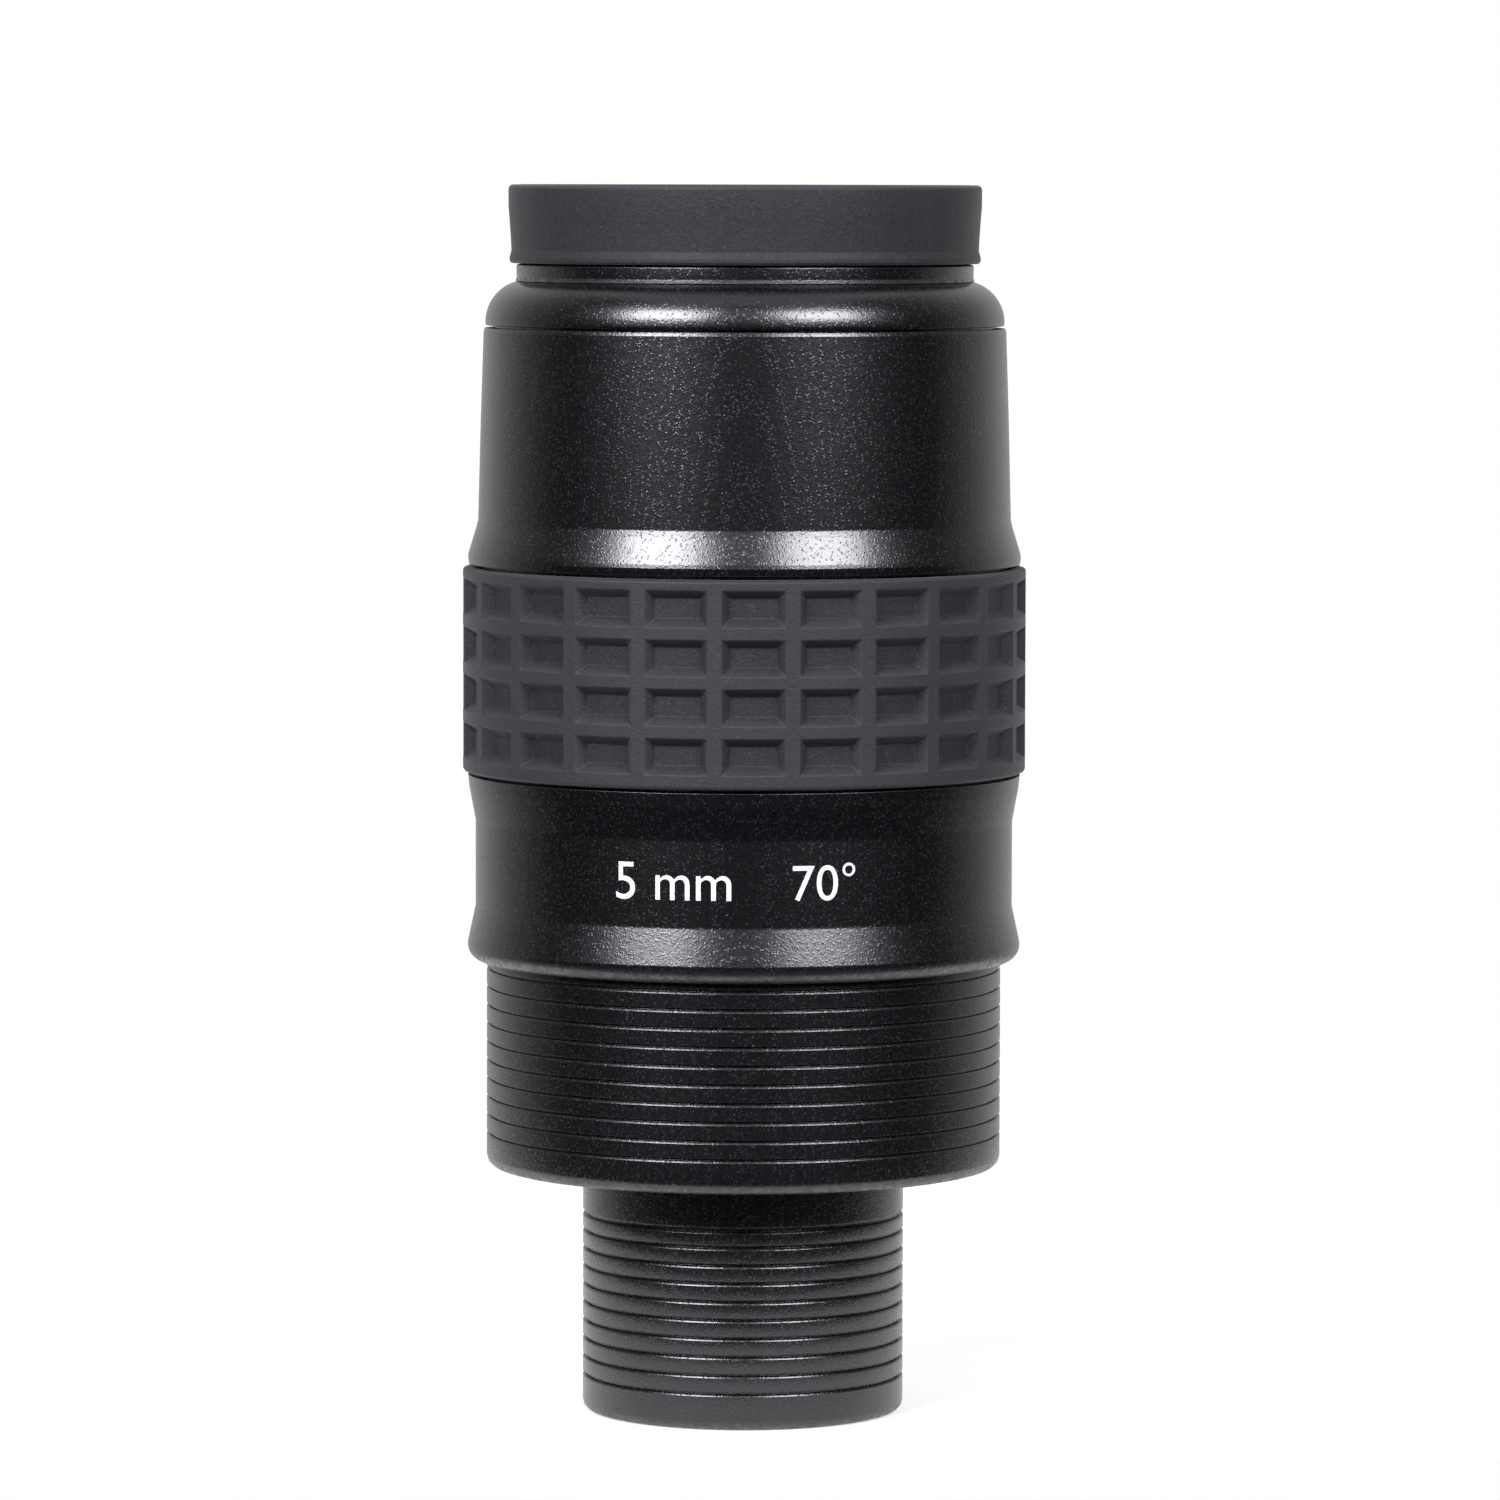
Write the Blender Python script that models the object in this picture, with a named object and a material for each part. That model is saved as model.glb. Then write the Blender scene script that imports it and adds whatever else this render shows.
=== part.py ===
"""Wide-field telescope eyepiece with a 31.75 mm nosepiece and a 50.8 mm barrel.

An assembly of turned parts on one optical axis. The axis is world Z, the eye end is up and
the open end of the nosepiece stands on Z = 0. Every length below is in millimetres and is
turned into metres by MM when the mesh is made. A turned part is given as a closed section:
a list of (radius, height) corners that is spun once round the axis.
"""
import math

import bmesh
import bpy
from mathutils import Matrix, Vector

MM = 0.001
WELD = 1e-7

# facets round the axis
OUTER_FACETS = 36
NOSE_FACETS = 32
INNER_FACETS = 24
LENS_FACETS = 20

# general fits
GAP = 0.3
CEMENT_GAP = 0.15

# standard barrels
NOSE_RADIUS = 31.75 / 2
BARREL_RADIUS = 50.8 / 2
FILTER_BORE_RADIUS = 13.95
CAMERA_THREAD_RADIUS = 21.35

# nosepiece
NOSE_BORE_RADIUS = 13.2
NOSE_NECK_RADIUS = 11.8
NOSE_SPIGOT_RADIUS = 14.5
NOSE_SPIGOT_TOP = 30.0
NOSE_TOP = 24.9
NOSE_FILLET = 0.8
FILTER_BORE_DEPTH = 6.2
SMYTH_LEDGE_Z = 22.3

# shallow rings cut round both barrels
KERF_COUNT = 10
NOSE_KERF_TOP = 19.7
NOSE_KERF_PITCH = 1.78
NOSE_KERF_HEIGHT = 0.6
NOSE_KERF_DEPTH = 0.22
BARREL_KERF_TOP = 43.94
BARREL_KERF_PITCH = 1.81
BARREL_KERF_HEIGHT = 0.6
BARREL_KERF_DEPTH = 0.14

# 50.8 mm barrel
BARREL_BOTTOM = 24.3
BARREL_WEB_TOP = 28.0
NOSE_SEAT_RADIUS = NOSE_RADIUS + GAP
NOSE_SEAT_Z = NOSE_TOP + GAP
BARREL_SHOULDER_Z = 45.3
BARREL_SPIGOT_RADIUS = 24.4
BARREL_SPIGOT_TOP = 52.0
BARREL_FILLET = 0.9

# main tube bore, shared by barrel, lower and upper housing
MAIN_BORE_RADIUS = 22.8

# lower housing
LIP_RADIUS = 27.25
LIP_BOTTOM = 44.78
LIP_SEAT_RADIUS = BARREL_RADIUS + GAP
LIP_SEAT_Z = BARREL_SHOULDER_Z + GAP
LIP_FLAT_RADIUS = 26.2
WAIST_RADIUS = 26.5
GRIP_SEAT_RADIUS = 25.9
LOWER_SHELF_Z = 63.13
LOWER_TOP = 72.8
MALE_BORE_RADIUS = 24.5
MALE_BORE_BOTTOM = 65.7

# upper housing
MALE_RADIUS = 24.2
MALE_BOTTOM = 66.0
UPPER_SPLIT_Z = 73.1
FLARE_BOTTOM = 83.85
FLARE_RADIUS = 27.24
UPPER_TOP = 107.05
COUNTERBORE_RADIUS = 24.9
COUNTERBORE_BOTTOM = 102.7

# grip sleeve
GRIP_BOTTOM = 63.45
GRIP_TOP = 83.55
GRIP_RADIUS = 27.75
GRIP_INNER_RADIUS = 26.35
GRIP_EDGE = 0.45
GRIP_COLUMNS = 23
GRIP_BAR_WIDTH = 1.45
GRIP_BAR_AZIMUTH = math.radians(-95.9)
GRIP_ROWS = 4
GRIP_ROW_PITCH = 4.7
GRIP_LOWEST_POCKET = 64.9
GRIP_POCKET_HEIGHT = 3.55
GRIP_POCKET_DEPTH = 0.87
GRIP_POCKET_RUN = 0.78

# shoulder ring
DOME_CENTRE_RADIUS = 21.415
DOME_CENTRE_Z = 107.64
DOME_ARC_RADIUS = 4.125
DOME_STEPS = 6
SHOULDER_BOTTOM = 107.33
SHOULDER_SPIGOT_RADIUS = 24.6
SHOULDER_SPIGOT_BOTTOM = 103.0
SHOULDER_BORE_RADIUS = 21.9

# camera thread ring
RING_SPIGOT_RADIUS = 21.6
RING_FLANGE_RADIUS = 22.5
RING_FLANGE_BOTTOM = 111.7
RING_FLANGE_TOP = 113.3
RING_BORE_RADIUS = 19.7
RING_TOP = 119.6

# eye guard, folded down
GUARD_BOTTOM = 113.6
GUARD_TOP = 121.17
GUARD_BASE_INNER = 21.65
GUARD_BASE_OUTER = 22.25
GUARD_LIP_INNER = 20.0
GUARD_LIP_BOTTOM = 119.9
SKIRT_INNER = 22.5
SKIRT_OUTER = 23.28

# lens cell
CELL_OUTER = 22.5
CELL_BOTTOM = 70.5
CELL_STEP_Z = 107.0
CELL_NECK_OUTER = 19.4
CELL_TOP = 117.2
CELL_EYE_BORE = 17.9
CELL_EYE_LEDGE_Z = 111.85
CELL_THROAT = 16.6
CELL_MAIN_BORE = 20.6

# lenses: half diameters
EYE_LENS_RADIUS = 17.6
MAIN_LENS_RADIUS = 20.3
SMYTH_LENS_RADIUS = 11.3

# baffle tube and field stop
BAFFLE_OUTER = 22.4
BAFFLE_INNER = 20.9
BAFFLE_BOTTOM = 28.3
BAFFLE_TOP = 67.7
BAFFLE_RIB_DEPTH = 1.1
BAFFLE_RIB_WIDTH = 0.8
BAFFLE_RIBS = (33.5, 38.5, 52.5, 57.5, 62.5)
STOP_Z = 45.4
STOP_THICKNESS = 1.6
STOP_RADIUS = 20.6
STOP_APERTURE = 9.0

# smyth cell
SMYTH_CELL_OUTER = 12.9
SMYTH_CELL_BORE = 11.6
SMYTH_CELL_THROAT = 10.4
SMYTH_CELL_BOTTOM = 6.6
SMYTH_CELL_TOP = 22.0
SMYTH_CELL_LEDGE_Z = 20.5

# grub screws through the lower housing, under the grip
SCREW_COUNT = 3
SCREW_Z = 69.5
SCREW_RADIUS = 0.9
SCREW_HOLE_RADIUS = 1.2
SCREW_INNER_END = 24.5
SCREW_OUTER_END = 25.75
SCREW_SOCKET_RADIUS = 0.45
SCREW_FACETS = 12

NOTCH_WIDTH = 1.4
NOTCH_DEPTH = 0.8


def clear_scene():
    for obj in list(bpy.data.objects):
        bpy.data.objects.remove(obj, do_unlink=True)


def principled(name, colour, roughness, metallic):
    material = bpy.data.materials.new(name)
    material.use_nodes = True
    shader = material.node_tree.nodes["Principled BSDF"]
    shader.inputs["Base Color"].default_value = (*colour, 1.0)
    shader.inputs["Roughness"].default_value = roughness
    shader.inputs["Metallic"].default_value = metallic
    return material


def add_object(name, bm, material):
    """Close the bmesh into an object whose faces point outward."""
    bmesh.ops.remove_doubles(bm, verts=bm.verts[:], dist=WELD)
    bmesh.ops.recalc_face_normals(bm, faces=bm.faces[:])
    mesh = bpy.data.meshes.new(name)
    bm.to_mesh(mesh)
    bm.free()
    mesh.materials.append(material)
    mesh.shade_smooth()
    mesh.set_sharp_from_angle(angle=math.radians(30))
    obj = bpy.data.objects.new(name, mesh)
    bpy.context.scene.collection.objects.link(obj)
    return obj


def turned(name, section, facets, material):
    """Spin a closed (radius, height) section once round the axis.

    A section that starts and ends on the axis is spun as an open chain; its end points
    weld into the two poles.
    """
    bm = bmesh.new()
    verts = [bm.verts.new((radius * MM, 0.0, height * MM)) for radius, height in section]
    edges = [bm.edges.new(pair) for pair in zip(verts, verts[1:])]
    on_axis = section[0][0] == 0.0 and section[-1][0] == 0.0
    if not on_axis:
        edges.append(bm.edges.new((verts[-1], verts[0])))
    bmesh.ops.spin(
        bm,
        geom=verts + edges,
        cent=(0.0, 0.0, 0.0),
        axis=(0.0, 0.0, 1.0),
        angle=math.tau,
        steps=facets,
        use_merge=True,
    )
    return add_object(name, bm, material)


def cut(target, cutter):
    """Take the cutter away from the target with an exact boolean."""
    cutter.hide_render = True
    cutter.display_type = "WIRE"
    modifier = target.modifiers.new(cutter.name, "BOOLEAN")
    modifier.operation = "DIFFERENCE"
    modifier.solver = "EXACT"
    modifier.object = cutter


def box_cutter(name, size, centre):
    bm = bmesh.new()
    scale = Matrix.Diagonal((size[0] * MM, size[1] * MM, size[2] * MM, 1.0))
    place = Matrix.Translation(Vector(centre) * MM)
    bmesh.ops.create_cube(bm, size=1.0, matrix=place @ scale)
    return add_object(name, bm, cutter_material)


def spanner_notches(ring, outer_radius, face_z):
    """Two notches across a retaining ring, for the pins of a lens spanner."""
    length = 2 * outer_radius + 2
    size = (length, NOTCH_WIDTH, 2 * NOTCH_DEPTH)
    cut(ring, box_cutter(ring.name + "_notch_cutter", size, (0.0, 0.0, face_z)))


def fillet(centre_radius, centre_z, radius, start_deg, end_deg, steps):
    """Points of an arc in the section plane, both ends included."""
    points = []
    for step in range(steps + 1):
        angle = math.radians(start_deg + (end_deg - start_deg) * step / steps)
        points.append((centre_radius + radius * math.cos(angle), centre_z + radius * math.sin(angle)))
    return points


def kerf_section(radius, top_z, pitch, height, depth):
    """V-shaped kerfs down a barrel wall, listed from the lowest upward."""
    points = []
    for index in reversed(range(KERF_COUNT)):
        centre = top_z - index * pitch
        points.append((radius, centre - height / 2))
        points.append((radius - depth, centre))
        points.append((radius, centre + height / 2))
    return points


def sag(curvature_radius, height):
    return curvature_radius - math.sqrt(curvature_radius ** 2 - height ** 2)


def lens_section(radius, top_edge_z, top_curve, bottom_edge_z, bottom_curve):
    """Section of a lens. A positive curve bulges out of the glass, a negative one dips in."""
    steps = 3
    heights = [radius * step / steps for step in range(steps + 1)]
    top = []
    bottom = []
    for height in heights:
        top_rise = math.copysign(sag(abs(top_curve), radius) - sag(abs(top_curve), height), top_curve)
        bottom_rise = math.copysign(
            sag(abs(bottom_curve), radius) - sag(abs(bottom_curve), height), bottom_curve
        )
        top.append((height, top_edge_z + top_rise))
        bottom.append((height, bottom_edge_z - bottom_rise))
    return bottom + top[::-1]


def ring_section(inner, outer, bottom, top):
    return [(inner, bottom), (outer, bottom), (outer, top), (inner, top)]


def build_grip_sleeve(material):
    """Rubber sleeve with rows of sloped pockets between upright and level bars.

    Each column has two upright lines, the two edges of its bar. A pocket is cut between
    one bar and the next.
    """
    bm = bmesh.new()
    half_bar = GRIP_BAR_WIDTH / 2 / GRIP_RADIUS
    pitch = math.tau / GRIP_COLUMNS
    run = GRIP_POCKET_RUN / GRIP_RADIUS
    floor_radius = GRIP_RADIUS - GRIP_POCKET_DEPTH
    azimuths = []
    for column in range(GRIP_COLUMNS):
        centre = GRIP_BAR_AZIMUTH + column * pitch
        azimuths += [centre - half_bar, centre + half_bar]
    count = len(azimuths)

    def point(radius, azimuth, height):
        return bm.verts.new(
            (radius * MM * math.cos(azimuth), radius * MM * math.sin(azimuth), height * MM)
        )

    def ring(radius, height):
        return [point(radius, azimuth, height) for azimuth in azimuths]

    levels = [GRIP_BOTTOM + GRIP_EDGE]
    for row in range(GRIP_ROWS):
        bottom = GRIP_LOWEST_POCKET + row * GRIP_ROW_PITCH
        levels += [bottom, bottom + GRIP_POCKET_HEIGHT]
    levels.append(GRIP_TOP - GRIP_EDGE)

    rings = [ring(GRIP_INNER_RADIUS, GRIP_BOTTOM), ring(GRIP_RADIUS - GRIP_EDGE, GRIP_BOTTOM)]
    rings += [ring(GRIP_RADIUS, level) for level in levels]
    rings += [ring(GRIP_RADIUS - GRIP_EDGE, GRIP_TOP), ring(GRIP_INNER_RADIUS, GRIP_TOP)]
    first_level = 2
    pocket_bands = {first_level + 1 + 2 * row for row in range(GRIP_ROWS)}

    for band in range(len(rings)):
        low = rings[band]
        high = rings[(band + 1) % len(rings)]
        for index in range(count):
            following = (index + 1) % count
            is_gap = index % 2 == 1
            corners = [low[index], low[following], high[following], high[index]]
            if not (band in pocket_bands and is_gap):
                bm.faces.new(corners)
                continue
            start = azimuths[index] + run
            end = azimuths[index] + pitch - 2 * half_bar - run
            floor_low = levels[band - first_level] + GRIP_POCKET_RUN
            floor_high = levels[band - first_level + 1] - GRIP_POCKET_RUN
            floor = [
                point(floor_radius, start, floor_low),
                point(floor_radius, end, floor_low),
                point(floor_radius, end, floor_high),
                point(floor_radius, start, floor_high),
            ]
            for side in range(4):
                other = (side + 1) % 4
                bm.faces.new([corners[side], corners[other], floor[other], floor[side]])
            bm.faces.new(floor)
    return add_object("grip_sleeve", bm, material)


clear_scene()

anodised = principled("black_anodised_aluminium", (0.018, 0.018, 0.02), 0.42, 0.85)
rubber = principled("black_rubber", (0.045, 0.045, 0.048), 0.8, 0.0)
glass = principled("coated_glass", (0.32, 0.45, 0.4), 0.05, 0.0)
flat_black = principled("matt_black_anodising", (0.01, 0.01, 0.01), 0.9, 0.3)
screw_steel = principled("blackened_steel", (0.06, 0.06, 0.06), 0.4, 0.9)
cutter_material = principled("cutter", (0.5, 0.1, 0.1), 0.5, 0.0)

# --- eye guard -------------------------------------------------------------------------------
guard_edge = 0.27
turned(
    "eye_guard_base",
    [
        (GUARD_BASE_INNER, GUARD_BOTTOM),
        (GUARD_BASE_OUTER, GUARD_BOTTOM),
        (GUARD_BASE_OUTER, GUARD_TOP - guard_edge / 2),
        (GUARD_BASE_OUTER - guard_edge, GUARD_TOP),
        (GUARD_LIP_INNER + guard_edge, GUARD_TOP),
        (GUARD_LIP_INNER, GUARD_TOP - guard_edge),
        (GUARD_LIP_INNER, GUARD_LIP_BOTTOM),
        (GUARD_BASE_INNER, GUARD_LIP_BOTTOM),
    ],
    OUTER_FACETS,
    rubber,
)

bead_radius = 23.14
waist_radius = 22.98
turned(
    "eye_guard_skirt",
    [
        (SKIRT_INNER, GUARD_BOTTOM + 0.15),
        (SKIRT_INNER + 0.2, GUARD_BOTTOM),
        (bead_radius - 0.2, GUARD_BOTTOM),
        (bead_radius, GUARD_BOTTOM + 0.25),
        (bead_radius, GUARD_BOTTOM + 0.7),
        (waist_radius, GUARD_BOTTOM + 1.35),
        (SKIRT_OUTER, GUARD_TOP - 2.1),
        (SKIRT_OUTER, GUARD_TOP - 0.55),
        (SKIRT_OUTER - 0.15, GUARD_TOP - 0.15),
        (SKIRT_OUTER - 0.5, GUARD_TOP),
        (SKIRT_INNER, GUARD_TOP - 0.12),
    ],
    OUTER_FACETS,
    rubber,
)

# --- camera thread ring: flange, thread relief, M43 thread, spigot below --------------------------
flange_chamfer = 0.2
relief_depth = 0.4
relief_top = RING_FLANGE_TOP + 0.9
turned(
    "camera_thread_ring",
    [
        (RING_BORE_RADIUS, SHOULDER_BOTTOM + GAP),
        (RING_SPIGOT_RADIUS, SHOULDER_BOTTOM + GAP),
        (RING_SPIGOT_RADIUS, RING_FLANGE_BOTTOM),
        (RING_FLANGE_RADIUS - flange_chamfer, RING_FLANGE_BOTTOM),
        (RING_FLANGE_RADIUS, RING_FLANGE_BOTTOM + flange_chamfer),
        (RING_FLANGE_RADIUS, RING_FLANGE_TOP),
        (CAMERA_THREAD_RADIUS - relief_depth, RING_FLANGE_TOP),
        (CAMERA_THREAD_RADIUS - relief_depth, relief_top),
        (CAMERA_THREAD_RADIUS, relief_top + relief_depth),
        (CAMERA_THREAD_RADIUS, RING_TOP - relief_depth),
        (CAMERA_THREAD_RADIUS - relief_depth, RING_TOP),
        (RING_BORE_RADIUS, RING_TOP),
    ],
    OUTER_FACETS,
    anodised,
)

# --- shoulder ring: dome outside, spigot into the upper housing ----------------------------------
dome_end_radius = 23.0
dome_start_deg = -4.0
dome_end_deg = math.degrees(math.acos((dome_end_radius - DOME_CENTRE_RADIUS) / DOME_ARC_RADIUS))
dome = fillet(
    DOME_CENTRE_RADIUS, DOME_CENTRE_Z, DOME_ARC_RADIUS, dome_start_deg, dome_end_deg, DOME_STEPS
)
dome_top_z = dome[-1][1]
turned(
    "shoulder_ring",
    [
        (MAIN_BORE_RADIUS, SHOULDER_SPIGOT_BOTTOM),
        (SHOULDER_SPIGOT_RADIUS, SHOULDER_SPIGOT_BOTTOM),
        (SHOULDER_SPIGOT_RADIUS, SHOULDER_BOTTOM),
    ]
    + dome
    + [
        (SHOULDER_BORE_RADIUS, dome_top_z),
        (SHOULDER_BORE_RADIUS, CELL_STEP_Z + GAP),
        (MAIN_BORE_RADIUS, CELL_STEP_Z + GAP),
    ],
    OUTER_FACETS,
    anodised,
)

# --- upper housing ---------------------------------------------------------------------------
turned(
    "upper_housing",
    [
        (MAIN_BORE_RADIUS, MALE_BOTTOM),
        (MALE_RADIUS, MALE_BOTTOM),
        (MALE_RADIUS, UPPER_SPLIT_Z),
        (GRIP_SEAT_RADIUS, UPPER_SPLIT_Z),
        (GRIP_SEAT_RADIUS, FLARE_BOTTOM),
        (FLARE_RADIUS - 0.05, FLARE_BOTTOM),
        (FLARE_RADIUS, 84.5),
        (27.12, 85.1),
        (26.45, 87.39),
        (26.25, 88.2),
        (26.0, 98.0),
        (25.73, 106.3),
        (25.68, UPPER_TOP - 0.15),
        (25.5, UPPER_TOP),
        (COUNTERBORE_RADIUS, UPPER_TOP),
        (COUNTERBORE_RADIUS, COUNTERBORE_BOTTOM),
        (MAIN_BORE_RADIUS, COUNTERBORE_BOTTOM),
    ],
    OUTER_FACETS,
    anodised,
)

build_grip_sleeve(rubber)

# --- lower housing ---------------------------------------------------------------------------
barrel_bore = BARREL_SPIGOT_RADIUS + GAP
lower_housing = turned(
    "lower_housing",
    [
        (LIP_SEAT_RADIUS, LIP_BOTTOM),
        (LIP_FLAT_RADIUS, LIP_BOTTOM),
        (26.6, 45.02),
        (27.02, 45.45),
        (LIP_RADIUS, 46.2),
        (27.17, 46.75),
        (26.67, 49.07),
        (WAIST_RADIUS, 50.1),
        (WAIST_RADIUS, 58.9),
        (26.72, 60.3),
        (27.12, 62.1),
        (LIP_RADIUS, LOWER_SHELF_Z - 0.15),
        (LIP_RADIUS - 0.15, LOWER_SHELF_Z),
        (GRIP_SEAT_RADIUS, LOWER_SHELF_Z),
        (GRIP_SEAT_RADIUS, LOWER_TOP),
        (MALE_BORE_RADIUS, LOWER_TOP),
        (MALE_BORE_RADIUS, MALE_BORE_BOTTOM),
        (MAIN_BORE_RADIUS, MALE_BORE_BOTTOM),
        (MAIN_BORE_RADIUS, BARREL_SPIGOT_TOP + GAP),
        (barrel_bore, BARREL_SPIGOT_TOP + GAP),
        (barrel_bore, LIP_SEAT_Z),
        (LIP_SEAT_RADIUS, LIP_SEAT_Z),
    ],
    OUTER_FACETS,
    anodised,
)

# --- 50.8 mm barrel --------------------------------------------------------------------------
barrel_corner = fillet(
    BARREL_RADIUS - BARREL_FILLET, BARREL_BOTTOM + BARREL_FILLET, BARREL_FILLET, -90, 0, 2
)
turned(
    "two_inch_barrel",
    [(NOSE_SEAT_RADIUS, BARREL_BOTTOM)]
    + barrel_corner
    + kerf_section(
        BARREL_RADIUS, BARREL_KERF_TOP, BARREL_KERF_PITCH, BARREL_KERF_HEIGHT, BARREL_KERF_DEPTH
    )
    + [
        (BARREL_RADIUS, BARREL_SHOULDER_Z),
        (BARREL_SPIGOT_RADIUS, BARREL_SHOULDER_Z),
        (BARREL_SPIGOT_RADIUS, BARREL_SPIGOT_TOP),
        (MAIN_BORE_RADIUS, BARREL_SPIGOT_TOP),
        (MAIN_BORE_RADIUS, BARREL_WEB_TOP),
        (NOSE_SPIGOT_RADIUS + GAP, BARREL_WEB_TOP),
        (NOSE_SPIGOT_RADIUS + GAP, NOSE_SEAT_Z),
        (NOSE_SEAT_RADIUS, NOSE_SEAT_Z),
    ],
    OUTER_FACETS,
    anodised,
)

# --- 31.75 mm nosepiece ----------------------------------------------------------------------
nose_corner = fillet(NOSE_RADIUS - NOSE_FILLET, NOSE_FILLET, NOSE_FILLET, -90, 0, 2)
turned(
    "nosepiece",
    [(FILTER_BORE_RADIUS, 0.0)]
    + nose_corner
    + kerf_section(NOSE_RADIUS, NOSE_KERF_TOP, NOSE_KERF_PITCH, NOSE_KERF_HEIGHT, NOSE_KERF_DEPTH)
    + [
        (NOSE_RADIUS, NOSE_TOP),
        (NOSE_SPIGOT_RADIUS, NOSE_TOP),
        (NOSE_SPIGOT_RADIUS, NOSE_SPIGOT_TOP),
        (NOSE_NECK_RADIUS, NOSE_SPIGOT_TOP),
        (NOSE_NECK_RADIUS, SMYTH_LEDGE_Z),
        (NOSE_BORE_RADIUS, SMYTH_LEDGE_Z),
        (NOSE_BORE_RADIUS, FILTER_BORE_DEPTH),
        (FILTER_BORE_RADIUS, FILTER_BORE_DEPTH),
    ],
    NOSE_FACETS,
    anodised,
)

# --- lens cell and the positive lenses it holds, from the eye down -------------------------------
cone_seat_top = 102.9
cone_seat_bottom = 101.6
turned(
    "lens_cell",
    [
        (CELL_MAIN_BORE, CELL_BOTTOM),
        (CELL_OUTER, CELL_BOTTOM),
        (CELL_OUTER, CELL_STEP_Z),
        (CELL_NECK_OUTER, CELL_STEP_Z),
        (CELL_NECK_OUTER, CELL_TOP),
        (CELL_EYE_BORE, CELL_TOP),
        (CELL_EYE_BORE, CELL_EYE_LEDGE_Z),
        (CELL_THROAT, CELL_EYE_LEDGE_Z),
        (CELL_THROAT, cone_seat_top),
        (CELL_MAIN_BORE, cone_seat_bottom),
    ],
    INNER_FACETS,
    flat_black,
)

LENSES = (
    # name, half diameter, top edge, top curve, bottom edge, bottom curve
    ("eye_lens", EYE_LENS_RADIUS, 114.6, 120.0, 112.6, 45.0),
    ("upper_doublet_crown", MAIN_LENS_RADIUS, 101.2, 60.0, 98.6, 45.0),
    ("upper_doublet_flint", MAIN_LENS_RADIUS, 98.6 - CEMENT_GAP, -45.0, 90.4, -200.0),
    ("lower_doublet_crown", MAIN_LENS_RADIUS, 86.6, 50.0, 84.6, 50.0),
    ("lower_doublet_flint", MAIN_LENS_RADIUS, 84.6 - CEMENT_GAP, -50.0, 76.6, -150.0),
    ("field_lens", MAIN_LENS_RADIUS, 74.5, 70.0, 72.5, -400.0),
    ("smyth_lens_upper", SMYTH_LENS_RADIUS, 20.2, -30.0, 14.4, -40.0),
    ("smyth_lens_lower", SMYTH_LENS_RADIUS, 14.4 - CEMENT_GAP, 40.0, 11.0, -64.0),
)
for lens_name, half_diameter, top_edge, top_curve, bottom_edge, bottom_curve in LENSES:
    section = lens_section(half_diameter, top_edge, top_curve, bottom_edge, bottom_curve)
    turned(lens_name, section, LENS_FACETS, glass)

retainer_top = 116.9
eye_lens_retainer = turned(
    "eye_lens_retainer",
    ring_section(16.0, EYE_LENS_RADIUS, 115.15, retainer_top),
    INNER_FACETS,
    anodised,
)
spanner_notches(eye_lens_retainer, EYE_LENS_RADIUS, retainer_top)

turned("doublet_spacer", ring_section(18.6, MAIN_LENS_RADIUS, 87.6, 90.1), INNER_FACETS, flat_black)
turned("field_lens_spacer", ring_section(18.6, MAIN_LENS_RADIUS, 75.3, 76.3), INNER_FACETS, flat_black)

group_retainer = turned(
    "lens_group_retainer",
    ring_section(18.4, MAIN_LENS_RADIUS, 70.7, 72.2),
    INNER_FACETS,
    flat_black,
)
spanner_notches(group_retainer, MAIN_LENS_RADIUS, 70.7)

lock_ring_bottom = BAFFLE_TOP + GAP
turned(
    "lens_cell_lock_ring",
    ring_section(19.4, CELL_OUTER, lock_ring_bottom, CELL_BOTTOM - GAP),
    INNER_FACETS,
    flat_black,
)

# --- baffle tube with light-trap ribs, and the field stop inside it ------------------------------
baffle_section = [
    (BAFFLE_INNER, BAFFLE_BOTTOM),
    (BAFFLE_OUTER, BAFFLE_BOTTOM),
    (BAFFLE_OUTER, BAFFLE_TOP),
    (BAFFLE_INNER, BAFFLE_TOP),
]
for rib_z in sorted(BAFFLE_RIBS, reverse=True):
    baffle_section += [
        (BAFFLE_INNER, rib_z + BAFFLE_RIB_WIDTH),
        (BAFFLE_INNER - BAFFLE_RIB_DEPTH, rib_z),
        (BAFFLE_INNER, rib_z - BAFFLE_RIB_WIDTH),
    ]
turned("baffle_tube", baffle_section, INNER_FACETS, flat_black)

turned(
    "field_stop",
    [
        (STOP_APERTURE + STOP_THICKNESS, STOP_Z),
        (STOP_RADIUS, STOP_Z),
        (STOP_RADIUS, STOP_Z + STOP_THICKNESS),
        (STOP_APERTURE, STOP_Z + STOP_THICKNESS),
        (STOP_APERTURE, STOP_Z + STOP_THICKNESS - 0.25),
    ],
    INNER_FACETS,
    flat_black,
)

# --- smyth cell, pushed into the nosepiece from below --------------------------------------------
turned(
    "smyth_cell",
    [
        (SMYTH_CELL_BORE, SMYTH_CELL_BOTTOM),
        (SMYTH_CELL_OUTER, SMYTH_CELL_BOTTOM),
        (SMYTH_CELL_OUTER, SMYTH_CELL_TOP),
        (SMYTH_CELL_THROAT, SMYTH_CELL_TOP),
        (SMYTH_CELL_THROAT, SMYTH_CELL_LEDGE_Z),
        (SMYTH_CELL_BORE, SMYTH_CELL_LEDGE_Z),
    ],
    INNER_FACETS,
    flat_black,
)
smyth_retainer_bottom = 9.2
smyth_retainer = turned(
    "smyth_retainer",
    ring_section(9.6, SMYTH_LENS_RADIUS, smyth_retainer_bottom, 10.7),
    INNER_FACETS,
    flat_black,
)
spanner_notches(smyth_retainer, SMYTH_LENS_RADIUS, smyth_retainer_bottom)

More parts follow.
